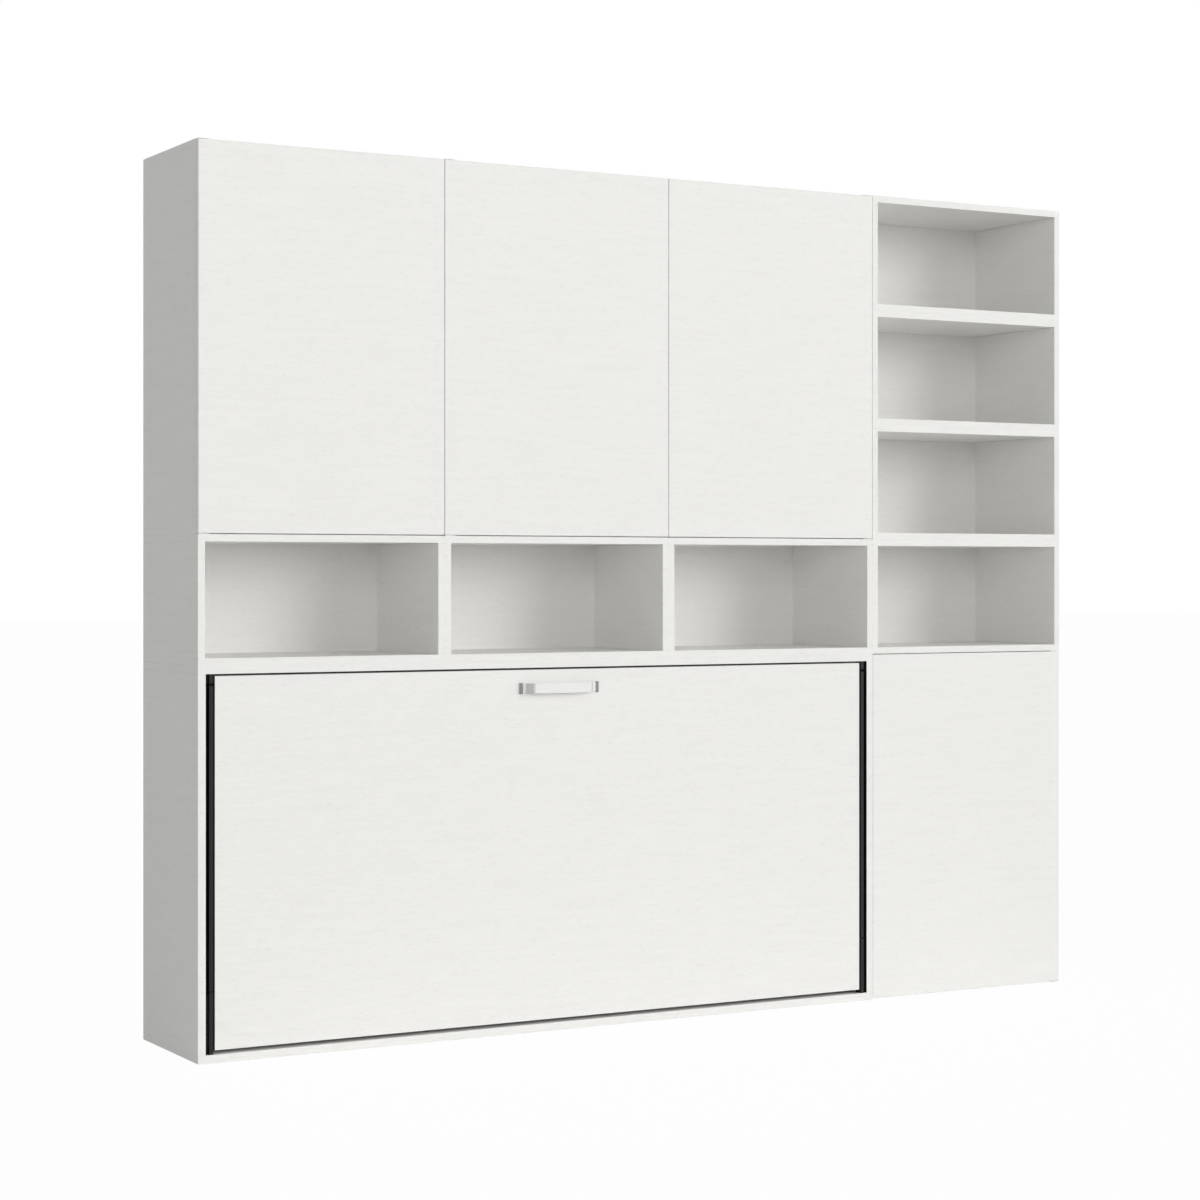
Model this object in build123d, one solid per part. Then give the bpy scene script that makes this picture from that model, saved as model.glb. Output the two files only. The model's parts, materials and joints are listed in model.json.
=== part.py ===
import os
from math import atan2, cos, degrees, sin

from build123d import *

os.makedirs("parts", exist_ok=True)

# Millimetres, +Z up, floor at z 0. x is centred on the whole wall unit.
# "u" is depth behind the front plane of the fronts, so y = u + FRONT_Y.
WIDTH = 2630
HEIGHT = 2230
DEPTH = 390
FRONT_Y = -184
MODULE = WIDTH / 4
EDGE = [-WIDTH / 2 + MODULE * i for i in range(5)]

# Boards
CASE_BOARD = 20
BOARD = 18
BOARD_EDGE = 0.4
BOARD_SEAM = 1
BACK_FRONT = 372
BACK_REAR = 380
GLIDE = 3
GLIDE_R = 15
GLIDE_IN = 40
GLIDE_U = (50, DEPTH - 40)
CUT = 1

# Heights
CASE_TOP = 960
NICHE_H = (HEIGHT - CASE_TOP) / 4
UPPER_FLOOR = CASE_TOP + NICHE_H

# Doors
DOOR = 20
DOOR_GAP = 0.75
DOOR_EDGE = 2
CARCASE_FRONT = 22
PLATE = 1.5
PLATE_GAP = 0.5
PLATE_IN = (3, 29)
PLATE_U = (0.5, 60)
UPPER_DOOR_Z = (UPPER_FLOOR + PLATE + PLATE_GAP, HEIGHT - PLATE - PLATE_GAP)
BASE_DOOR_Z = (GLIDE + PLATE + PLATE_GAP, CASE_TOP - PLATE - PLATE_GAP)
PIVOT_IN = 6
PIVOT_U = 4
PIVOT_R = 2.5
PIVOT_LENGTH = 12
PIVOT_PLAY = 0.5
RUNNING = 0.05

# Bed, closed; its pins, plates and stops are measured from the inside of the case
BED_MID_X = (EDGE[0] + EDGE[3]) / 2
CASE_IN = EDGE[0] + CASE_BOARD
RAIL_OUT = CASE_IN + 22.5
RAIL_IN = RAIL_OUT + 30
PIVOT = (60, 252)
PIN_R = 8
BED_FRONT = 60
RAIL_FRONT = 68
RAIL_REAR = 108
RAIL_Z = (42, 926)
RAIL_TUBE = 30
TUBE_WALL = 2
TOP_SEAL = 8
SLATS = 14
SLAT_W = 53
SLAT_U = (109, 117)
SLAT_Z = (56, 912)
CAP_U = (108, 118)
CAP_Z = ((50, 72), (896, 918))
CAP_W = 63
MATTRESS = (1850, 150, 850)
MATTRESS_Z = (50, 900)
MATTRESS_ROUND = 28
STRAP = 2
STRAP_W = 40
STRAP_X = -851.25

# Bed feet, gas struts and stops
FOOT_PIVOT = (84, 885)
FOOT_REACH = 276
STRUT_CASE = (220, 532)
STRUT_BED = (60, 159)
TUBE_R = 7
ROD_R = 3
STUD_R = 4

# Desk leaf, which is the whole front of the bed
LEAF_U = (2, 24)
LEAF_Z = (33, 935)
TRIM = 1.5
PIN_PLANE = 36
ARM_TOP_Z = 752
ARM_LOW_Z = 399
ROLLER_Z = 46
ARM_W = 18
ARM_PIN_R = 4
LEG_PIVOT = (13, 905)
LEG_FOOT_Z = 176
LEG_U = (1, 25)
LEG_X = (CASE_IN + 9.5, CASE_IN + 19.5)
LEG_R = 12
PAD = 6

# Black trim round the leaf
LINER = 1
LINER_U = (0.5, 30)
STRIP_RECESS_U = 10
STRIP_GAP = 0.5
STRIP_REAR_Z = 160
STRIP_FRONT_Z = 173.5
SEAL_IN = 23
SEAL_U = (4, 24)
SEAL_Z = 936

# Bow handle
HANDLE_HALF = 115
HANDLE_FOOT_HALF = 98
HANDLE_FLAT_HALF = 83
HANDLE_FRONT_U = -22
HANDLE_Z = (874.5, 900.5)
HANDLE_STRAP = 3.5
HANDLE_BEND_R = 7
HANDLE_CAP = 8
HANDLE_CAP_END = 4
HANDLE_CAP_WALL = 1


def block(x, u, z):
    """A box between two x, two depths and two heights."""
    size = Box(abs(x[1] - x[0]), u[1] - u[0], z[1] - z[0])
    return Pos((x[0] + x[1]) / 2, (u[0] + u[1]) / 2 + FRONT_Y, (z[0] + z[1]) / 2) * size


def prism_x(x, corners):
    """A prism along x whose corners are depths and heights."""
    outline = Polyline([(x[0], u + FRONT_Y, z) for u, z in corners], close=True)
    return extrude(make_face(outline), x[1] - x[0], dir=(1, 0, 0))


def rod_x(x, at, radius):
    """A round bar along x, at a depth and a height."""
    bar = Rot(0, 90, 0) * Cylinder(radius, abs(x[1] - x[0]))
    return Pos((x[0] + x[1]) / 2, at[0] + FRONT_Y, at[1]) * bar


def rod_y(x, u, z, radius):
    bar = Rot(90, 0, 0) * Cylinder(radius, u[1] - u[0])
    return Pos(x, (u[0] + u[1]) / 2 + FRONT_Y, z) * bar


def rod_z(x, u, z, radius):
    return Pos(x, u + FRONT_Y, (z[0] + z[1]) / 2) * Cylinder(radius, z[1] - z[0])


def both_ends(shape):
    """The same part at the left and at the right end of the bed."""
    return [shape, mirror(shape, about=Plane.YZ.offset(BED_MID_X))]


def save(name, *shapes):
    solids = []
    for shape in shapes:
        solids.extend(shape.solids())
    export_step(Compound(solids), f"parts/{name}.step")


# ---------------------------------------------------------------- boards


def eased(shape):
    """A board with broken edges, wider along the depth where boards meet."""
    shape = chamfer(shape.edges().filter_by(Axis.Y), BOARD_SEAM)
    rest = shape.edges().filter_by(Axis.X) + shape.edges().filter_by(Axis.Z)
    return chamfer(rest, BOARD_EDGE)


def frame_boards(left, right, low, high, board, front):
    """Two sides between a floor and a top that run over their ends."""
    inner = (low + board, high - board)
    sides = [
        block((left, left + board), (front, DEPTH), inner),
        block((right - board, right), (front, DEPTH), inner),
    ]
    floor = block((left, right), (front, DEPTH), (low, low + board))
    top = block((left, right), (front, DEPTH), (high - board, high))
    back = block((left + board, right - board), (BACK_FRONT, BACK_REAR), inner)
    left_side, right_side, floor, top = [eased(shape) for shape in (*sides, floor, top)]
    return [left_side, right_side], floor, top, back


def niche_places():
    places = [(EDGE[i], EDGE[i + 1], CASE_TOP) for i in range(3)]
    for i in range(4):
        places.append((EDGE[3], EDGE[4], CASE_TOP + NICHE_H * i))
    return places


def niches():
    sides = []
    boards = []
    backs = []
    for left, right, low in niche_places():
        pair, floor, top, back = frame_boards(left, right, low, low + NICHE_H, BOARD, 0)
        sides += pair
        boards += [floor, top]
        backs.append(back)
    save("niche_sides", *sides)
    save("niche_boards", *boards)
    save("niche_backs", *backs)


def bed_case():
    low = GLIDE
    sides, floor, top, back = frame_boards(EDGE[0], EDGE[3], low, CASE_TOP, CASE_BOARD, 0)
    for x in CASE_BRACKETS:
        back -= bracket_holes(x, CASE_TOP - CASE_BOARD)
    save("bed_case_left_side", sides[0])
    save("bed_case_right_side", sides[1])
    save("bed_case_floor", floor)
    save("bed_case_top", top)
    save("bed_case_back", back)
    liner = block((CASE_IN, CASE_IN + LINER), LINER_U, (low + CASE_BOARD, CASE_TOP - CASE_BOARD))
    save("case_side_liners", *both_ends(liner))


def case_seals():
    """The black strips round the leaf that stay with the case, above and below its legs."""
    x = (CASE_IN + LINER, LEG_X[1])
    low = GLIDE + CASE_BOARD
    high = CASE_TOP - CASE_BOARD
    recess = block((CASE_IN, LEG_X[0]), (0, STRIP_RECESS_U), (0, CASE_TOP))
    upper = block(x, LEG_U, (LEG_PIVOT[1] + LEG_R + STRIP_GAP, high)) - recess
    front, rear = LEG_U
    lower = prism_x(x, [(front, low), (rear, low), (rear, STRIP_REAR_Z), (front, STRIP_FRONT_Z)])
    save("gap_strips", *both_ends(upper), *both_ends(lower - recess))
    left = CASE_IN + SEAL_IN
    save("case_top_seal", block((left, 2 * BED_MID_X - left), SEAL_U, (SEAL_Z, high)))


def glides():
    discs = []
    for edge, inward in ((EDGE[0], 1), (BED_MID_X, 0), (EDGE[3], -1), (EDGE[3], 1), (EDGE[4], -1)):
        for u in GLIDE_U:
            discs.append(rod_z(edge + inward * GLIDE_IN, u, (0, GLIDE), GLIDE_R))
    save("glides", *discs)


# ---------------------------------------------------------------- wall brackets

BRACKET_HALF_W = 32
BRACKET_STEEL = 3
BRACKET_LEG = 42
BOLT_HALF = 20
BOLT_R = 4.5
BOLT_DROP = 26
CASE_BRACKETS = (-900, 242.5)


def bracket_holes(x, underside):
    z = underside - BOLT_DROP
    span = (BACK_FRONT - BRACKET_STEEL - CUT, BACK_REAR + CUT)
    return [rod_y(x + side * BOLT_HALF, span, z, BOLT_R) for side in (-1, 1)]


def wall_bracket(x, underside):
    wide = (x - BRACKET_HALF_W, x + BRACKET_HALF_W)
    upright = block(
        wide,
        (BACK_FRONT - BRACKET_STEEL, BACK_FRONT),
        (underside - BRACKET_LEG, underside),
    )
    flat = block(
        wide,
        (BACK_FRONT - BRACKET_LEG, BACK_FRONT),
        (underside - BRACKET_STEEL, underside),
    )
    return (upright + flat) - bracket_holes(x, underside)


def wall_brackets():
    brackets = [wall_bracket(x, CASE_TOP - CASE_BOARD) for x in CASE_BRACKETS]
    for i in range(3):
        middle = (EDGE[i] + EDGE[i + 1]) / 2
        brackets.append(wall_bracket(middle, HEIGHT - BOARD))
    save("wall_brackets", *brackets)


# ---------------------------------------------------------------- cupboards

SHELF_INSET = 1
SHELF_U = (26, 370)
SHELF_PIN_R = 2.5
SHELF_PIN_IN = 8
SHELF_PIN_PLAY = 0.5
SHELF_PIN_U = (70, 330)
UPPER_SHELVES = (1592, 1900)
BASE_SHELVES = (316, 628)
LATCH_IN = 60
LATCH_HALF = 8
LATCH_H = 16
LATCH_U = (26, 90)
LATCH_FLANGE_HALF = 12
LATCH_FLANGE_H = 18
LATCH_FLANGE_U = (24, 26)
LATCH_TIP_R = 4
LATCH_TIP_GAP = 0.3


def shelf_pin_places(left, right, shelves):
    places = []
    for z in shelves:
        for u in SHELF_PIN_U:
            height = z - SHELF_PIN_R
            places.append((left + BOARD, u, height))
            places.append((right - BOARD, u, height))
    return places


def shelf_pin(face, u, z, radius, reach):
    return rod_x((face - reach, face + reach), (u, z), radius)


def pivot_plate(edge, inward, low, up):
    """A flush steel plate whose pin runs into the door; up is the way the pin points."""
    ends = sorted(edge + inward * distance for distance in PLATE_IN)
    plate = block(ends, PLATE_U, (low, low + PLATE))
    x = edge + inward * PIVOT_IN
    if up > 0:
        span = (low + PLATE, low + PLATE + PLATE_GAP + PIVOT_LENGTH)
    else:
        span = (low - PLATE_GAP - PIVOT_LENGTH, low)
    return plate + rod_z(x, PIVOT_U, span, PIVOT_R)


def cupboard(left, right, low, high, shelves, edge, inward):
    """Carcase, shelves, pins, pivot plates and latch of one cupboard."""
    sides, floor, top, back = frame_boards(left, right, low, high, BOARD, CARCASE_FRONT)
    places = shelf_pin_places(left, right, shelves)
    for place in places:
        hole = shelf_pin(*place, SHELF_PIN_R + RUNNING, SHELF_PIN_IN)
        sides = [side - hole for side in sides]
    pins = [shelf_pin(*place, SHELF_PIN_R, SHELF_PIN_IN - SHELF_PIN_PLAY) for place in places]
    low_plate = pivot_plate(edge, inward, low, 1)
    high_plate = pivot_plate(edge, inward, high - PLATE, -1)
    latch_x = left + right - edge - inward * LATCH_IN
    boards = [floor - low_plate, top - high_plate]
    span = (left + BOARD + SHELF_INSET, right - BOARD - SHELF_INSET)
    return {
        "sides": sides,
        "boards": boards,
        "back": back,
        "shelves": [block(span, SHELF_U, (z, z + BOARD)) for z in shelves],
        "pins": pins,
        "plates": [low_plate, high_plate],
        "latch": push_latch(latch_x, high - BOARD),
    }


def push_latch(x, underside):
    body = block((x - LATCH_HALF, x + LATCH_HALF), LATCH_U, (underside - LATCH_H, underside))
    wide = (x - LATCH_FLANGE_HALF, x + LATCH_FLANGE_HALF)
    flange = block(wide, LATCH_FLANGE_U, (underside - LATCH_FLANGE_H, underside))
    reach = (DOOR + LATCH_TIP_GAP, LATCH_FLANGE_U[0])
    return body + flange + rod_y(x, reach, underside - LATCH_FLANGE_H / 2, LATCH_TIP_R)


def door(left, right, z, edge, inward):
    panel = block((left + DOOR_GAP, right - DOOR_GAP), (0, DOOR), z)
    panel = fillet(panel.edges(), DOOR_EDGE)
    x = edge + inward * PIVOT_IN
    depth = PIVOT_LENGTH + PIVOT_PLAY
    for span in ((z[0], z[0] + depth), (z[1] - depth, z[1])):
        panel -= rod_z(x, PIVOT_U, span, PIVOT_R + RUNNING)
    return panel


def cupboards():
    uppers = [
        (EDGE[0], EDGE[1], EDGE[0], 1),
        (EDGE[1], EDGE[2], EDGE[1], 1),
        (EDGE[2], EDGE[3], EDGE[3], -1),
    ]
    units = []
    for i, (left, right, edge, inward) in enumerate(uppers):
        unit = cupboard(left, right, UPPER_FLOOR, HEIGHT, UPPER_SHELVES, edge, inward)
        unit["back"] -= bracket_holes((left + right) / 2, HEIGHT - BOARD)
        units.append(unit)
        save(f"upper_door_{i + 1}", door(left, right, UPPER_DOOR_Z, edge, inward))
    base = cupboard(EDGE[3], EDGE[4], GLIDE, CASE_TOP, BASE_SHELVES, EDGE[4], -1)
    save("base_door", door(EDGE[3], EDGE[4], BASE_DOOR_Z, EDGE[4], -1))
    save("upper_cabinet_sides", *[s for unit in units for s in unit["sides"]])
    save("upper_cabinet_boards", *[b for unit in units for b in unit["boards"]])
    save("upper_cabinet_backs", *[unit["back"] for unit in units])
    save("upper_cabinet_shelves", *[s for unit in units for s in unit["shelves"]])
    save("base_cabinet_sides", *base["sides"])
    save("base_cabinet_boards", *base["boards"])
    save("base_cabinet_back", base["back"])
    save("base_cabinet_shelves", *base["shelves"])
    units.append(base)
    save("shelf_pins", *[p for unit in units for p in unit["pins"]])
    save("door_pivot_plates", *[p for unit in units for p in unit["plates"]])
    save("push_latches", *[unit["latch"] for unit in units])


# ---------------------------------------------------------------- bed frame


def bed_rails():
    long_rails = []
    span = (RAIL_IN, 2 * BED_MID_X - RAIL_IN)
    for low in (RAIL_Z[0], RAIL_Z[1] - RAIL_TUBE):
        outer = block(span, (RAIL_FRONT, RAIL_REAR), (low, low + RAIL_TUBE))
        inner = block(
            span,
            (RAIL_FRONT + TUBE_WALL, RAIL_REAR - TUBE_WALL),
            (low + TUBE_WALL, low + RAIL_TUBE - TUBE_WALL),
        )
        long_rails.append(outer - inner)
    save("bed_long_rails", *long_rails)
    outer = block((RAIL_OUT, RAIL_IN), (BED_FRONT, RAIL_REAR), RAIL_Z)
    inner = block(
        (RAIL_OUT + TUBE_WALL, RAIL_IN - TUBE_WALL),
        (BED_FRONT + TUBE_WALL, RAIL_REAR - TUBE_WALL),
        RAIL_Z,
    )
    save("bed_side_rails", *both_ends(outer - inner))
    board = block(span, (BED_FRONT, RAIL_FRONT), RAIL_Z)
    save("bed_base_board", board)
    seal = block(span, (BED_FRONT, RAIL_FRONT), (RAIL_Z[1], RAIL_Z[1] + TOP_SEAL))
    save("bed_top_seal", seal)


def slat_middles():
    pitch = 2 * (BED_MID_X - RAIL_IN) / SLATS
    return [RAIL_IN + pitch * (i + 0.5) for i in range(SLATS)]


def slats():
    bars = []
    caps = []
    for x in slat_middles():
        bar = block((x - SLAT_W / 2, x + SLAT_W / 2), SLAT_U, SLAT_Z)
        bars.append(bar)
        for z in CAP_Z:
            caps.append(block((x - CAP_W / 2, x + CAP_W / 2), CAP_U, z) - bar)
    save("slats", *bars)
    save("slat_caps", *caps)


def mattress():
    half = MATTRESS[0] / 2
    body = block(
        (BED_MID_X - half, BED_MID_X + half),
        (CAP_U[1], CAP_U[1] + MATTRESS[1]),
        MATTRESS_Z,
    )
    save("mattress", fillet(body.edges(), MATTRESS_ROUND))


def strap_band(grow):
    """The mattress outline in depth and height, grown all round."""
    depth = (RAIL_REAR, CAP_U[1] + MATTRESS[1] + grow)
    height = (MATTRESS_Z[0] - grow, MATTRESS_Z[1] + grow)
    band = block((STRAP_X - STRAP_W / 2, STRAP_X + STRAP_W / 2), depth, height)
    outer = band.faces().sort_by(Axis.Y)[-1].edges().filter_by(Axis.X)
    return fillet(outer, MATTRESS_ROUND + grow)


def mattress_straps():
    save("mattress_straps", *both_ends(strap_band(STRAP) - strap_band(0)))


SIDE_PLATE = 5
SIDE_PLATE_U = (46, RAIL_REAR)
SIDE_PLATE_Z = (130, 330)
BOSS_R = 15
BOSS_LENGTH = 12.5
BUSH_R = 11
STUD_LENGTH = 10.5
PIN_FLANGE = 5
PIN_FLANGE_R = 25
PIN_PLAY = 0.5


def bed_side_plates():
    plate = block((RAIL_OUT - SIDE_PLATE, RAIL_OUT), SIDE_PLATE_U, SIDE_PLATE_Z)
    boss = rod_x((RAIL_OUT - BOSS_LENGTH, RAIL_OUT), PIVOT, BOSS_R)
    stud = rod_x((RAIL_OUT - STUD_LENGTH, RAIL_OUT), STRUT_BED, STUD_R)
    bush_hole = rod_x((RAIL_OUT - BOSS_LENGTH - CUT, RAIL_OUT), PIVOT, BUSH_R)
    save("bed_side_plates", *both_ends(plate + boss + stud - bush_hole))
    bush = rod_x((RAIL_OUT - BOSS_LENGTH, RAIL_OUT), PIVOT, BUSH_R)
    bore = rod_x((RAIL_OUT - BOSS_LENGTH - CUT, RAIL_OUT + CUT), PIVOT, PIN_R + RUNNING)
    save("bed_pivot_bushes", *both_ends(bush - bore))


def bed_pivot_pins():
    flange = rod_x((CASE_IN, CASE_IN + PIN_FLANGE), PIVOT, PIN_FLANGE_R)
    pin = rod_x((CASE_IN + PIN_FLANGE, RAIL_OUT - PIN_PLAY), PIVOT, PIN_R)
    save("bed_pivot_pins", *both_ends(flange + pin))


CLOSED_STOP = ((CASE_IN, CASE_IN + 40), (RAIL_REAR + 0.5, RAIL_REAR + 20.5), (905, 940))
OPEN_STOP = ((CASE_IN, CASE_IN + 33), (200, 265), (300.5, 330))


def bed_stop_blocks():
    save("bed_stop_blocks", *both_ends(block(*CLOSED_STOP)), *both_ends(block(*OPEN_STOP)))


# ---------------------------------------------------------------- bed feet


FOOT_X = (CASE_IN + 2.5, CASE_IN + 7.5)
FOOT_HALF = 15
FOOT_PIN_R = 5
FOOT_SPACER_R = 9
FOOT_SPACER_GAP = 0.5


def bed_feet():
    u, z = FOOT_PIVOT
    wide = (u - FOOT_HALF, u + FOOT_HALF)
    bar = block(FOOT_X, wide, (z - FOOT_REACH + PAD, z))
    head = rod_x(FOOT_X, FOOT_PIVOT, FOOT_HALF)
    hole = rod_x((FOOT_X[0] - CUT, FOOT_X[1] + CUT), FOOT_PIVOT, FOOT_PIN_R + RUNNING)
    save("bed_feet", *both_ends(bar + head - hole))
    pad = block(FOOT_X, wide, (z - FOOT_REACH, z - FOOT_REACH + PAD))
    save("bed_foot_pads", *both_ends(pad))
    pin = rod_x((CASE_IN + LINER, RAIL_OUT), FOOT_PIVOT, FOOT_PIN_R)
    spacer = rod_x((FOOT_X[1] + FOOT_SPACER_GAP, RAIL_OUT), FOOT_PIVOT, FOOT_SPACER_R)
    save("bed_foot_pins", *both_ends(pin + spacer))


# ---------------------------------------------------------------- gas struts


STRUT_MID_X = CASE_IN + 8.5
LUG_X = (CASE_IN + 3.5, CASE_IN + 12)
LUG_R = 8
NECK = (5, 16)
NECK_R = 4
TUBE_SPAN = (14, 255)
BORE_FROM = 20
ROD_FROM = 150
ROD_SHORT = 4
EYE_X = (CASE_IN + 5, CASE_IN + 11.5)
CASE_STUD = ((3, 12), (12.5, STUD_R), (15, 6))


def strut_line():
    du = STRUT_BED[0] - STRUT_CASE[0]
    dz = STRUT_BED[1] - STRUT_CASE[1]
    return atan2(dz, du), (du * du + dz * dz) ** 0.5


def along_strut(start, end, radius):
    """A bar on the strut's axis, between two distances from the case stud."""
    angle, _ = strut_line()
    middle = (start + end) / 2
    bar = Rot(degrees(angle) - 90, 0, 0) * Cylinder(radius, end - start)
    u = STRUT_CASE[0] + middle * cos(angle)
    z = STRUT_CASE[1] + middle * sin(angle)
    return Pos(STRUT_MID_X, u + FRONT_Y, z) * bar


def gas_struts():
    _, length = strut_line()
    lug = rod_x(LUG_X, STRUT_CASE, LUG_R)
    lug_hole = rod_x((LUG_X[0] - CUT, LUG_X[1] + CUT), STRUT_CASE, STUD_R + RUNNING)
    neck = along_strut(*NECK, NECK_R)
    tube = along_strut(*TUBE_SPAN, TUBE_R)
    bore = along_strut(BORE_FROM, TUBE_SPAN[1] + CUT, ROD_R + RUNNING)
    save("strut_cylinders", *both_ends(lug + neck + tube - bore - lug_hole))
    rod = along_strut(ROD_FROM, length - ROD_SHORT, ROD_R)
    eye = rod_x(EYE_X, STRUT_BED, LUG_R)
    save("strut_rods", *both_ends(rod + eye))
    stud = []
    start = CASE_IN
    for reach, radius in CASE_STUD:
        stud.append(rod_x((start, CASE_IN + reach), STRUT_CASE, radius))
        start = CASE_IN + reach
    save("strut_case_studs", *both_ends(stud[0] + stud[1] + stud[2]))


# ---------------------------------------------------------------- desk


def desk_leaf():
    left = RAIL_OUT + TRIM
    leaf = block((left, 2 * BED_MID_X - left), LEAF_U, LEAF_Z)
    save("desk_leaf", chamfer(leaf.edges().filter_by(Axis.X), BOARD_EDGE))
    trim = block((RAIL_OUT, left), LEAF_U, LEAF_Z)
    save("leaf_side_trims", *both_ends(trim))


def handle():
    """A bent strap: two capped feet flat on the leaf, steep shoulders and a flat grip."""
    depth = HANDLE_STRAP / 2
    foot_end = HANDLE_HALF - HANDLE_CAP_END
    foot_y = LEAF_U[0] - depth + FRONT_Y
    front_y = HANDLE_FRONT_U + depth + FRONT_Y
    path = FilletPolyline(
        (BED_MID_X - foot_end, foot_y),
        (BED_MID_X - HANDLE_FOOT_HALF, foot_y),
        (BED_MID_X - HANDLE_FLAT_HALF, front_y),
        (BED_MID_X + HANDLE_FLAT_HALF, front_y),
        (BED_MID_X + HANDLE_FOOT_HALF, foot_y),
        (BED_MID_X + foot_end, foot_y),
        radius=HANDLE_BEND_R,
    )
    strap = extrude(trace(path, HANDLE_STRAP), HANDLE_Z[1] - HANDLE_Z[0])
    strap = Pos(0, 0, HANDLE_Z[0]) * strap
    save("handle", strap)
    left = BED_MID_X - HANDLE_HALF
    cap = block(
        (left, left + HANDLE_CAP),
        (LEAF_U[0] - HANDLE_STRAP - HANDLE_CAP_WALL, LEAF_U[0]),
        (HANDLE_Z[0] - HANDLE_CAP_WALL, HANDLE_Z[1] + HANDLE_CAP_WALL),
    )
    save("handle_end_caps", *both_ends(cap - strap))


ARM_X = (CASE_IN + 29, CASE_IN + 35)
WEB_X = (CASE_IN + 36, CASE_IN + 40)
WEB_HALF = 10
ARM_PIN_PLAY = 0.5
BRACKET_FOOT_X = (WEB_X[1], CASE_IN + 60)
BED_BRACKET_U = (26, BED_FRONT)
BED_BRACKET_FOOT = 3
BED_BRACKET_Z = (ARM_TOP_Z - 17, ARM_TOP_Z + 18)
LEAF_BRACKET_U = (LEAF_U[1], 46)
LEAF_BRACKET_FOOT = 2
LEAF_BRACKET_Z = (384, 414)
ROLLER_BRACKET_U = (LEAF_U[1], 42)
ROLLER_BRACKET_Z = (38, 56)
ROLLER_BRACKET = 4
ROLLER_FLANGE_X = (RAIL_OUT + ROLLER_BRACKET, CASE_IN + 45)
ROLLER_X = (CASE_IN + 11.5, CASE_IN + 17.5)
ROLLER_R = 6
AXLE_R = 3


def arm_pin(z):
    return rod_x((ARM_X[0] - ARM_PIN_PLAY, WEB_X[0]), (PIN_PLANE, z), ARM_PIN_R)


def desk_arm_brackets():
    web = block(WEB_X, BED_BRACKET_U, (ARM_TOP_Z - WEB_HALF, ARM_TOP_Z + WEB_HALF))
    foot = block(BRACKET_FOOT_X, (BED_FRONT - BED_BRACKET_FOOT, BED_FRONT), BED_BRACKET_Z)
    save("desk_arm_brackets", *both_ends(web + foot + arm_pin(ARM_TOP_Z)))


def leaf_brackets():
    inner = (LEAF_U[1], LEAF_U[1] + LEAF_BRACKET_FOOT)
    web = block(WEB_X, LEAF_BRACKET_U, (ARM_LOW_Z - WEB_HALF, ARM_LOW_Z + WEB_HALF))
    foot = block(BRACKET_FOOT_X, inner, LEAF_BRACKET_Z)
    arm_bracket = web + foot + arm_pin(ARM_LOW_Z)
    side = block((RAIL_OUT, RAIL_OUT + ROLLER_BRACKET), ROLLER_BRACKET_U, ROLLER_BRACKET_Z)
    flange = block(ROLLER_FLANGE_X, inner, ROLLER_BRACKET_Z)
    axle = rod_x((ROLLER_X[0], RAIL_OUT), (PIN_PLANE, ROLLER_Z), AXLE_R)
    roller_bracket = side + flange + axle
    save("leaf_brackets", *both_ends(arm_bracket), *both_ends(roller_bracket))
    roller = rod_x(ROLLER_X, (PIN_PLANE, ROLLER_Z), ROLLER_R)
    bore = rod_x((ROLLER_X[0] - CUT, ROLLER_X[1] + CUT), (PIN_PLANE, ROLLER_Z), AXLE_R)
    save("desk_rollers", *both_ends(roller - bore))


def desk_arms():
    half = ARM_W / 2
    bar = block(ARM_X, (PIN_PLANE - half, PIN_PLANE + half), (ARM_LOW_Z, ARM_TOP_Z))
    for z in (ARM_LOW_Z, ARM_TOP_Z):
        bar += rod_x(ARM_X, (PIN_PLANE, z), half)
    for z in (ARM_LOW_Z, ARM_TOP_Z):
        bar -= rod_x((ARM_X[0] - CUT, ARM_X[1] + CUT), (PIN_PLANE, z), ARM_PIN_R + RUNNING)
    save("desk_arms", *both_ends(bar))


TRACK_X = (CASE_IN + 8.5, CASE_IN + 20.5)
TRACK_WEB = 2
TRACK_LIP = 1.5
TRACK_U = (28, 44)
TRACK_Z = (37, 762)
TRACK_TAB_Z = (80, 480, 740)
TRACK_TAB_HALF = 15
TRACK_TAB = 2
TRACK_TAB_REAR = 95


def desk_tracks():
    channel = block((TRACK_X[0], TRACK_X[0] + TRACK_WEB), TRACK_U, TRACK_Z)
    for u in (TRACK_U[0], TRACK_U[1] - TRACK_LIP):
        channel += block(TRACK_X, (u, u + TRACK_LIP), TRACK_Z)
    for z in TRACK_TAB_Z:
        span = (z - TRACK_TAB_HALF, z + TRACK_TAB_HALF)
        channel += block((TRACK_X[0], RAIL_OUT), (TRACK_U[1], TRACK_U[1] + TRACK_TAB), span)
        channel += block((TRACK_X[1], RAIL_OUT), (TRACK_U[1], TRACK_TAB_REAR), span)
    save("desk_tracks", *both_ends(channel))


LEG_WASHER_R = 9


def desk_legs():
    u, z = LEG_PIVOT
    bar = block(LEG_X, LEG_U, (LEG_FOOT_Z + PAD, z))
    head = rod_x(LEG_X, LEG_PIVOT, LEG_R)
    hole = rod_x((LEG_X[0] - CUT, LEG_X[1] + CUT), LEG_PIVOT, STUD_R + RUNNING)
    save("desk_legs", *both_ends(bar + head - hole))
    pad = block(LEG_X, LEG_U, (LEG_FOOT_Z, LEG_FOOT_Z + PAD))
    save("desk_leg_pads", *both_ends(pad))
    pin = rod_x((LEG_X[0] - CUT, RAIL_OUT), LEG_PIVOT, STUD_R)
    washer = rod_x((LEG_X[1], RAIL_OUT), LEG_PIVOT, LEG_WASHER_R)
    save("desk_leg_pins", *both_ends(pin + washer))


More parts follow.
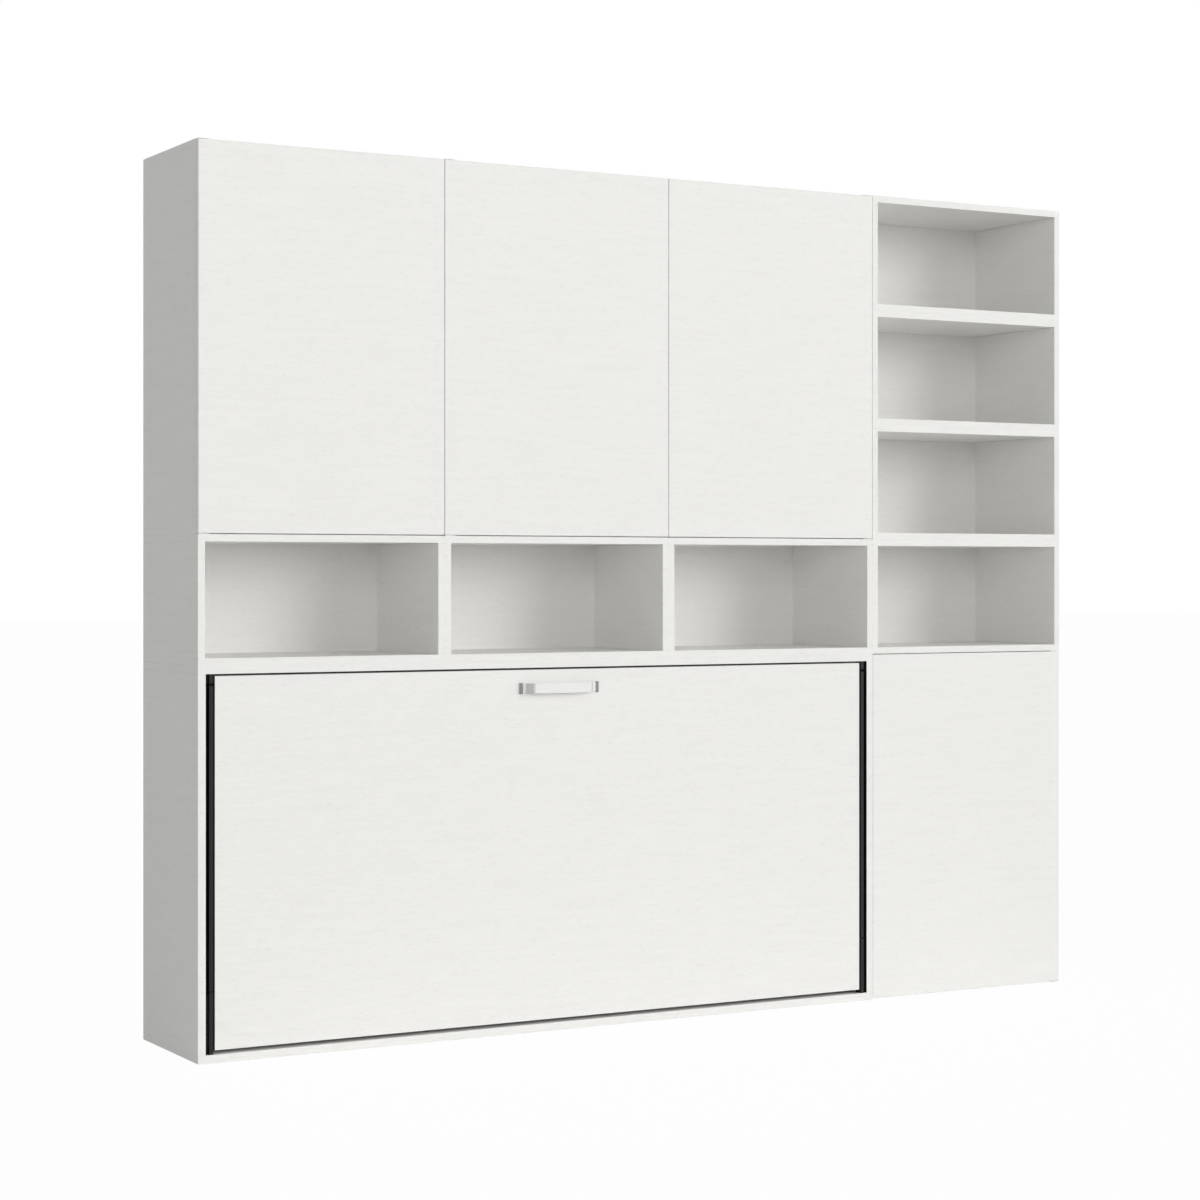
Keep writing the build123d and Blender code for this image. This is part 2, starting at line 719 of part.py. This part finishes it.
CATCH_OUT = 600
MAGNET_HALF = 20
MAGNET_U = (26.3, BED_FRONT)
MAGNET_Z = (885, 905)
CATCH_HALF = 18
CATCH_U = (LEAF_U[1], 26)
CATCH_Z = (886, 904)


def desk_catches():
    magnets = []
    plates = []
    for x in (BED_MID_X - CATCH_OUT, BED_MID_X + CATCH_OUT):
        magnets.append(block((x - MAGNET_HALF, x + MAGNET_HALF), MAGNET_U, MAGNET_Z))
        plates.append(block((x - CATCH_HALF, x + CATCH_HALF), CATCH_U, CATCH_Z))
    save("desk_catch_magnets", *magnets)
    save("desk_catch_plates", *plates)


bed_case()
case_seals()
glides()
wall_brackets()
niches()
cupboards()
bed_rails()
slats()
mattress()
mattress_straps()
bed_side_plates()
bed_pivot_pins()
bed_stop_blocks()
bed_feet()
gas_struts()
desk_leaf()
handle()
desk_arm_brackets()
leaf_brackets()
desk_arms()
desk_tracks()
desk_legs()
desk_catches()
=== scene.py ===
import json
import math

import bpy
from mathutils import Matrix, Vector


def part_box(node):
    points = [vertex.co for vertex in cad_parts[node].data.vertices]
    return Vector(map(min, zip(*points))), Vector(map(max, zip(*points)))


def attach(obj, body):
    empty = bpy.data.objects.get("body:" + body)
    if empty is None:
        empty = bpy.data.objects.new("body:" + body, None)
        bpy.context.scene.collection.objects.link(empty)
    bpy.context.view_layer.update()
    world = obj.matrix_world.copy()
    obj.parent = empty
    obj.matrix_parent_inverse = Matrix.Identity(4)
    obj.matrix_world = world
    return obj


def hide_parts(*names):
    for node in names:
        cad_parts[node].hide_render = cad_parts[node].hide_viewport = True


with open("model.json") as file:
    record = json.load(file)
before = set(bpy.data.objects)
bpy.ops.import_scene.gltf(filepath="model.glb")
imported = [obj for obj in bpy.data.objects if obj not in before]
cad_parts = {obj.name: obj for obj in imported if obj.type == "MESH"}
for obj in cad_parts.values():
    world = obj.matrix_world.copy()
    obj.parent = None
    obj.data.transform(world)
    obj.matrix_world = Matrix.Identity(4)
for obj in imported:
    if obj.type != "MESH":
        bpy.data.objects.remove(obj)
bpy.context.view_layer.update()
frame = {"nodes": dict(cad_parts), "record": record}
nodes = frame["nodes"]

# ---------------------------------------------------------------- node helpers


class Shader:
    """A principled material and the few texture steps this scene uses."""

    def __init__(self, name, roughness, metallic=0.0):
        self.material = bpy.data.materials.new(name)
        self.material.use_nodes = True
        self.tree = self.material.node_tree
        self.out = self.tree.nodes["Principled BSDF"]
        self.out.inputs["Roughness"].default_value = roughness
        self.out.inputs["Metallic"].default_value = metallic
        self.coord = self.tree.nodes.new("ShaderNodeTexCoord")

    def link(self, a, b):
        self.tree.links.new(a, b)

    def place(self, scale, turn=(0, 0, 0)):
        """Object coordinates, in metres, scaled and turned."""
        node = self.tree.nodes.new("ShaderNodeMapping")
        node.inputs["Scale"].default_value = scale
        node.inputs["Rotation"].default_value = turn
        self.link(self.coord.outputs["Object"], node.inputs["Vector"])
        return node.outputs["Vector"]

    def noise(self, scale, detail=3.0, rough=0.55, warp=0.0):
        node = self.tree.nodes.new("ShaderNodeTexNoise")
        node.inputs["Scale"].default_value = 1.0
        node.inputs["Detail"].default_value = detail
        node.inputs["Roughness"].default_value = rough
        node.inputs["Distortion"].default_value = warp
        self.link(self.place(scale), node.inputs["Vector"])
        return node.outputs["Fac"]

    def wave(self, scale, turn=(0, 0, 0)):
        node = self.tree.nodes.new("ShaderNodeTexWave")
        node.inputs["Scale"].default_value = 1.0
        self.link(self.place(scale, turn), node.inputs["Vector"])
        return node.outputs["Fac"]

    def spread(self, value, low, high, to_low=0.0, to_high=1.0):
        node = self.tree.nodes.new("ShaderNodeMapRange")
        node.inputs["From Min"].default_value = low
        node.inputs["From Max"].default_value = high
        node.inputs["To Min"].default_value = to_low
        node.inputs["To Max"].default_value = to_high
        self.link(value, node.inputs["Value"])
        return node.outputs["Result"]

    def mix(self, factor, a, b):
        node = self.tree.nodes.new("ShaderNodeMix")
        node.data_type = "RGBA"
        self.put(factor, node.inputs["Factor"])
        self.put(a, node.inputs["A"])
        self.put(b, node.inputs["B"])
        return node.outputs["Result"]

    def maths(self, kind, a, b):
        node = self.tree.nodes.new("ShaderNodeMath")
        node.operation = kind
        self.put(a, node.inputs[0])
        self.put(b, node.inputs[1])
        return node.outputs["Value"]

    def put(self, value, socket):
        if isinstance(value, bpy.types.NodeSocket):
            self.link(value, socket)
        elif isinstance(value, tuple):
            socket.default_value = (*value, 1.0)
        else:
            socket.default_value = value

    def colour(self, value):
        self.put(value, self.out.inputs["Base Color"])

    def roughness(self, value):
        self.put(value, self.out.inputs["Roughness"])

    def bump(self, height, distance, strength=1.0):
        node = self.tree.nodes.new("ShaderNodeBump")
        node.inputs["Distance"].default_value = distance
        node.inputs["Strength"].default_value = strength
        self.link(height, node.inputs["Height"])
        self.link(node.outputs["Normal"], self.out.inputs["Normal"])

    def value(self, name, number):
        self.out.inputs[name].default_value = number


# ---------------------------------------------------------------- materials

WHITE = (0.92, 0.914, 0.888)
WHITE_PORE = (0.79, 0.785, 0.762)
WHITE_SHADE = (0.90, 0.894, 0.869)
BLACK = (0.009, 0.009, 0.0095)
BLACK_WORN = (0.018, 0.018, 0.019)
# Flat mid grey for the two end caps of the handle: darker than the handle, lighter than the black
# plastic of their slot
CAP_GREY = (0.28, 0.28, 0.275)
CAP_GREY_WORN = (0.3, 0.3, 0.295)


def ash_melamine(name, stroke):
    """White foil with an embossed ash grain; stroke is the grain's stretch in x, y and z."""
    s = Shader(name, 0.6)
    fine = s.noise(tuple(6 * v for v in stroke), detail=4.0, rough=0.65, warp=0.3)
    pores = s.spread(fine, 0.55, 0.66)
    broad = s.noise(tuple(0.7 * v for v in stroke), detail=2.0, warp=0.6)
    cloud = s.spread(broad, 0.3, 0.7)
    base = s.mix(cloud, WHITE_SHADE, WHITE)
    s.colour(s.mix(s.maths("MULTIPLY", pores, 0.55), base, WHITE_PORE))
    s.roughness(s.spread(fine, 0.3, 0.7, 0.54, 0.7))
    s.value("Specular IOR Level", 0.25)
    s.bump(s.maths("SUBTRACT", cloud, s.maths("MULTIPLY", pores, 0.8)), 0.00035, 0.6)
    return s.material


def powder_coat():
    s = Shader("powder_coat", 0.5)
    peel = s.noise((900, 900, 900), detail=2.0)
    patch = s.noise((9, 9, 9), detail=3.0)
    s.colour(s.mix(s.spread(patch, 0.4, 0.75), BLACK, BLACK_WORN))
    s.roughness(s.spread(patch, 0.3, 0.7, 0.42, 0.58))
    s.value("Specular IOR Level", 0.2)
    s.bump(peel, 0.0002, 0.5)
    return s.material


def white_paint():
    """Stoved paint on the small steel plates of the doors."""
    s = Shader("white_paint", 0.4)
    peel = s.noise((900, 900, 900), detail=2.0)
    s.colour(s.mix(s.spread(peel, 0.4, 0.7), WHITE_SHADE, WHITE))
    s.bump(peel, 0.0001, 0.5)
    return s.material


def moulded_plastic(name, shade, worn):
    s = Shader(name, 0.5)
    grit = s.noise((1400, 1400, 1400), detail=1.0)
    s.colour(s.mix(s.noise((20, 20, 20)), shade, worn))
    s.roughness(s.spread(grit, 0.3, 0.7, 0.45, 0.62))
    s.value("Specular IOR Level", 0.2)
    s.bump(grit, 0.00015, 0.4)
    return s.material


def brushed_metal(name, shade, stroke, rough, metallic):
    s = Shader(name, rough, metallic)
    lines = s.noise(stroke, detail=3.0, rough=0.7)
    darker = tuple(0.9 * v for v in shade)
    s.colour(s.mix(s.spread(lines, 0.35, 0.65), darker, shade))
    s.roughness(s.spread(lines, 0.3, 0.7, rough - 0.06, rough + 0.08))
    s.bump(lines, 0.00008, 0.5)
    return s.material


def birch():
    s = Shader("birch_veneer", 0.42)
    figure = s.noise((45, 45, 3.5), detail=4.0, warp=0.8)
    fibre = s.noise((420, 420, 14), detail=3.0)
    base = s.mix(s.spread(figure, 0.35, 0.68), (0.56, 0.39, 0.22), (0.70, 0.54, 0.35))
    s.colour(s.mix(s.maths("MULTIPLY", s.spread(fibre, 0.5, 0.7), 0.45), base, (0.42, 0.27, 0.14)))
    s.roughness(s.spread(fibre, 0.3, 0.7, 0.36, 0.5))
    s.bump(fibre, 0.0002, 0.5)
    return s.material


def ticking():
    """Knitted mattress ticking with a small woven figure."""
    s = Shader("mattress_ticking", 0.85)
    ribs = s.wave((160, 0, 160), (0, math.radians(45), 0))
    cross = s.wave((160, 0, 160), (0, math.radians(-45), 0))
    figure = s.maths("MULTIPLY", ribs, cross)
    fuzz = s.noise((500, 500, 500), detail=2.0)
    shade = s.mix(s.spread(figure, 0.2, 0.8), (0.74, 0.73, 0.70), (0.83, 0.82, 0.79))
    cloud = s.spread(s.noise((5, 5, 5)), 0.3, 0.7)
    s.colour(s.mix(s.maths("MULTIPLY", cloud, 0.3), shade, (0.70, 0.69, 0.67)))
    s.value("Sheen Weight", 0.25)
    s.value("Sheen Roughness", 0.5)
    s.bump(s.maths("ADD", figure, s.maths("MULTIPLY", fuzz, 0.6)), 0.0006, 0.6)
    return s.material


def webbing(name, light, dark, scale):
    s = Shader(name, 0.78)
    along = s.wave((0, scale, scale))
    across = s.wave((scale, 0, 0))
    weave = s.maths("MULTIPLY", along, across)
    s.colour(s.mix(weave, dark, light))
    s.roughness(s.spread(s.noise((300, 300, 300)), 0.3, 0.7, 0.7, 0.9))
    s.bump(weave, 0.0004, 0.7)
    return s.material


UPRIGHT = ash_melamine("ash_melamine_upright", (8, 8, 100))
FLAT = ash_melamine("ash_melamine_flat", (8, 100, 100))
STEEL = powder_coat()
PLASTIC = moulded_plastic("moulded_plastic", BLACK, BLACK_WORN)
CAP_PLASTIC = moulded_plastic("cap_plastic", CAP_GREY, CAP_GREY_WORN)
PAINT = white_paint()
SATIN = brushed_metal("satin_metal", (0.66, 0.66, 0.645), (12, 500, 500), 0.45, 0.3)
ZINC = brushed_metal("zinc_steel", (0.62, 0.62, 0.63), (300, 40, 300), 0.34, 1.0)
BIRCH = birch()
TICKING = ticking()
STRAP = webbing("strap_webbing", (0.045, 0.045, 0.047), (0.012, 0.012, 0.013), 380)
PIPING = webbing("mattress_piping", (0.42, 0.43, 0.44), (0.30, 0.31, 0.32), 500)

SLOT_MATERIAL = {
    "white_melamine": UPRIGHT,
    "white_back_panel": UPRIGHT,
    "black_steel": STEEL,
    "bright_steel": ZINC,
    "white_steel": PAINT,
    "satin_handle": SATIN,
    "birch_slat": BIRCH,
    "black_plastic": PLASTIC,
    "mattress_cover": TICKING,
    "strap_webbing": STRAP,
}
FLAT_NODES = (
    "bed_case_top",
    "bed_case_floor",
    "niche_boards",
    "upper_cabinet_boards",
    "upper_cabinet_shelves",
    "base_cabinet_boards",
    "base_cabinet_shelves",
)


def dress_nodes():
    for entry in frame["record"]["subparts"]:
        name = entry["node"]
        material = SLOT_MATERIAL[entry["material_slot"]]
        if name in FLAT_NODES:
            material = FLAT
        # The handle's end caps get the mid grey in place of their slot's black plastic
        if name == "handle_end_caps":
            material = CAP_PLASTIC
        mesh = nodes[name].data
        for i in range(len(mesh.materials)):
            mesh.materials[i] = material


dress_nodes()

# ---------------------------------------------------------------- mattress

CELL = 0.0125
ROUND = 0.026
SKIN = 0.004
TUFT_X = 0.1
TUFT_Z = 0.085
TUFT_DEPTH = 0.007
TUFT_REACH = 0.55
STITCH_DEPTH = 0.002
STRAP_HALF = 0.024
STRAP_X = (-0.85125, 0.19375)
STRAP_SINK = 0.003
PIPING_RADIUS = 0.0035
PIPING_TURN = 15
SETTLE_FRAMES = 14
SWELL_MOST = 0.007


def lattice_shell(counts):
    """The cells on the outside of a block of counts cells: points and quads."""
    index = {}
    points = []
    quads = []

    def corner(key):
        if key not in index:
            index[key] = len(points)
            points.append(key)
        return index[key]

    for axis in range(3):
        b, c = (axis + 1) % 3, (axis + 2) % 3
        for level in (0, counts[axis]):
            for i in range(counts[b]):
                for j in range(counts[c]):
                    ring = []
                    for di, dj in ((0, 0), (1, 0), (1, 1), (0, 1)):
                        key = [0, 0, 0]
                        key[axis], key[b], key[c] = level, i + di, j + dj
                        ring.append(corner(tuple(key)))
                    quads.append(ring if level else ring[::-1])
    return points, quads


def rounded(point, half, radius):
    """point on a box of that half size, moved onto the box with rounded edges."""
    inner = Vector([max(-h + radius, min(h - radius, v)) for v, h in zip(point, half)])
    away = point - inner
    if away.length > 1e-9:
        return inner + away.normalized() * radius
    return point


def tuft_here(x, z):
    """True at the stitched points of the diamond quilting."""
    row = round(z / TUFT_Z)
    shift = 0.5 * TUFT_X * (row % 2)
    near_x = abs((x - shift) / TUFT_X - round((x - shift) / TUFT_X)) * TUFT_X
    near_z = abs(z - row * TUFT_Z)
    return near_x < TUFT_REACH * CELL and near_z < TUFT_REACH * CELL


def mattress_mesh(low, high):
    """Rounded shell with the held points: tufts, seams, border stitching and straps."""
    middle = (low + high) / 2
    half = (high - low) / 2 - Vector((SKIN, SKIN, SKIN))
    counts = [max(2, round(2 * h / CELL)) for h in half]
    keys, quads = lattice_shell(counts)
    points = []
    held = []
    seam = half.y - ROUND * 0.3
    for n, key in enumerate(keys):
        flat = Vector([2 * h * k / c - h for h, k, c in zip(half, key, counts)])
        p = rounded(flat, half, ROUND)
        panel = abs(flat.y) > half.y - 1e-6
        inside = abs(flat.x) < half.x - ROUND and abs(flat.z) < half.z - ROUND
        strap = any(abs(p.x + middle.x - x) < STRAP_HALF for x in STRAP_X)
        side = math.copysign(1.0, flat.y)
        if strap:
            p = rounded(flat, half - Vector((STRAP_SINK, STRAP_SINK, STRAP_SINK)), ROUND)
            held.append(n)
        elif panel and inside and tuft_here(p.x, p.z):
            p.y -= side * TUFT_DEPTH
            held.append(n)
        elif panel and not inside and abs(abs(p.y) - seam) < 0.5 * CELL:
            held.append(n)
        elif not panel and key[1] in (counts[1] // 3, counts[1] - counts[1] // 3):
            p -= Vector((p.x / half.x, 0, p.z / half.z)).normalized() * STITCH_DEPTH
            held.append(n)
        points.append(p + middle)
    mesh = bpy.data.meshes.new("mattress_cover")
    mesh.from_pydata(points, [], quads)
    mesh.validate()
    return mesh, held


def settle(piece, held, low, high):
    """Blows the shell up like cloth over foam, holding its stitched points."""
    group = piece.vertex_groups.new(name="held")
    group.add(held, 1.0, "REPLACE")
    cloth = piece.modifiers.new("cloth", "CLOTH")
    cloth.settings.quality = 4
    cloth.settings.mass = 0.3
    cloth.settings.tension_stiffness = 12
    cloth.settings.compression_stiffness = 12
    cloth.settings.shear_stiffness = 6
    cloth.settings.bending_stiffness = 0.6
    cloth.settings.use_pressure = True
    cloth.settings.uniform_pressure_force = 2.2
    cloth.settings.effector_weights.gravity = 0
    cloth.settings.vertex_group_mass = "held"
    cloth.collision_settings.use_collision = False
    start = [v.co.copy() for v in piece.data.vertices]
    scene = bpy.context.scene
    for step in range(1, SETTLE_FRAMES + 1):
        scene.frame_set(step)
    solved = piece.evaluated_get(bpy.context.evaluated_depsgraph_get())
    after = [v.co.copy() for v in solved.data.vertices]
    piece.modifiers.remove(cloth)
    scene.frame_set(1)
    for v, a, b in zip(piece.data.vertices, start, after):
        move = b - a
        if move.length > SWELL_MOST:
            move *= SWELL_MOST / move.length
        p = a + move
        v.co = Vector([max(lo, min(hi, c)) for lo, hi, c in zip(low, high, p)])


def piping_loop(name, low, high, side):
    """Corded edge round one panel of the mattress."""
    middle = (low + high) / 2
    half = (high - low) / 2 - Vector((SKIN, SKIN, SKIN))
    lean = ROUND * (1 - math.sqrt(0.5))
    hx, hz = half.x - lean, half.z - lean
    bend = ROUND * math.sqrt(0.5)
    y = middle.y + side * (half.y - lean)
    curve = bpy.data.curves.new(name, "CURVE")
    curve.dimensions = "3D"
    curve.bevel_depth = PIPING_RADIUS
    curve.bevel_resolution = 3
    spline = curve.splines.new("POLY")
    ring = []
    for sx, sz, start in ((1, 1, 0), (-1, 1, 90), (-1, -1, 180), (1, -1, 270)):
        for step in range(90 // PIPING_TURN + 1):
            a = math.radians(start + PIPING_TURN * step)
            x = sx * (hx - bend) + bend * math.cos(a)
            z = sz * (hz - bend) + bend * math.sin(a)
            ring.append((middle.x + x, y, middle.z + z, 1.0))
    spline.points.add(len(ring) - 1)
    for point, co in zip(spline.points, ring):
        point.co = co
    spline.use_cyclic_u = True
    piece = bpy.data.objects.new(name, curve)
    bpy.context.collection.objects.link(piece)
    curve.materials.append(PIPING)
    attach(piece, "bed")


def make_mattress():
    low, high = (Vector(corner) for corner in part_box("mattress"))
    mesh, held = mattress_mesh(low, high)
    piece = bpy.data.objects.new("quilted_mattress", mesh)
    bpy.context.collection.objects.link(piece)
    mesh.materials.append(TICKING)
    settle(piece, held, low, high)
    smooth = piece.modifiers.new("smooth", "SUBSURF")
    smooth.levels = 1
    smooth.render_levels = 1
    for polygon in mesh.polygons:
        polygon.use_smooth = True
    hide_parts("mattress")
    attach(piece, "bed")
    for label, side in (("mattress_piping_top", 1), ("mattress_piping_under", -1)):
        piping_loop(label, low, high, side)


make_mattress()

# ---------------------------------------------------------------- floor, light and camera

CAMERA_AT = (-3.53718, -6.12217, 1.18056)
CAMERA_YAW = -29.2747
CAMERA_LENS = 78.3075
CAMERA_SHIFT = -0.0215
AMBIENT = 0.367
FLOOR_HALF = 60
FLOOR_GLOW = 0.97
LAMP_AWAY = 6


def visible_background(tree):
    """1 for the rays that should see the white background."""
    path = tree.nodes.new("ShaderNodeLightPath")
    total = path.outputs["Is Camera Ray"]
    for name in ("Is Glossy Ray", "Is Transmission Ray"):
        add = tree.nodes.new("ShaderNodeMath")
        add.operation = "MAXIMUM"
        tree.links.new(total, add.inputs[0])
        tree.links.new(path.outputs[name], add.inputs[1])
        total = add.outputs["Value"]
    return total


def make_world():
    world = bpy.data.worlds.new("studio")
    bpy.context.scene.world = world
    world.use_nodes = True
    tree = world.node_tree
    back = tree.nodes["Background"]
    strength = tree.nodes.new("ShaderNodeMapRange")
    strength.inputs["To Min"].default_value = AMBIENT
    strength.inputs["To Max"].default_value = 1.0
    tree.links.new(visible_background(tree), strength.inputs["Value"])
    tree.links.new(strength.outputs["Result"], back.inputs["Strength"])
    back.inputs["Color"].default_value = (1, 1, 1, 1)


def make_floor():
    mesh = bpy.data.meshes.new("studio_floor")
    corners = [(x * FLOOR_HALF, y * FLOOR_HALF, 0) for x, y in ((-1, -1), (1, -1), (1, 1), (-1, 1))]
    mesh.from_pydata(corners, [], [(0, 1, 2, 3)])
    floor = bpy.data.objects.new("studio_floor", mesh)
    bpy.context.collection.objects.link(floor)
    material = bpy.data.materials.new("studio_floor")
    material.use_nodes = True
    tree = material.node_tree
    tree.nodes.clear()
    out = tree.nodes.new("ShaderNodeOutputMaterial")
    matt = tree.nodes.new("ShaderNodeBsdfDiffuse")
    matt.inputs["Color"].default_value = (0.95, 0.95, 0.95, 1)
    glow = tree.nodes.new("ShaderNodeEmission")
    mix = tree.nodes.new("ShaderNodeMixShader")
    share = tree.nodes.new("ShaderNodeMath")
    share.operation = "MULTIPLY"
    share.inputs[1].default_value = FLOOR_GLOW
    tree.links.new(visible_background(tree), share.inputs[0])
    tree.links.new(share.outputs["Value"], mix.inputs["Fac"])
    tree.links.new(matt.outputs["BSDF"], mix.inputs[1])
    tree.links.new(glow.outputs["Emission"], mix.inputs[2])
    tree.links.new(mix.outputs["Shader"], out.inputs["Surface"])
    mesh.materials.append(material)


def soft_sun(name, towards_light, spread, strength):
    """A distant lamp of the given angular size, in degrees."""
    data = bpy.data.lights.new(name, "SUN")
    data.angle = math.radians(spread)
    data.energy = strength
    lamp = bpy.data.objects.new(name, data)
    lamp.rotation_euler = (-Vector(towards_light)).to_track_quat("-Z", "Y").to_euler()
    lamp.location = Vector(towards_light).normalized() * LAMP_AWAY
    bpy.context.collection.objects.link(lamp)


def make_camera():
    data = bpy.data.cameras.new("camera")
    data.sensor_width = 36
    data.lens = CAMERA_LENS
    data.shift_y = CAMERA_SHIFT
    camera = bpy.data.objects.new("camera", data)
    camera.location = CAMERA_AT
    camera.rotation_euler = (math.radians(90), 0, math.radians(CAMERA_YAW))
    bpy.context.collection.objects.link(camera)
    bpy.context.scene.camera = camera


make_world()
make_floor()
soft_sun("key", (1.0, -1.0, 0.03), 50, 2.88)
soft_sun("fill", (-0.4, -1.0, 0.03), 40, 0.74)
make_camera()
bpy.context.scene.view_settings.view_transform = "Standard"
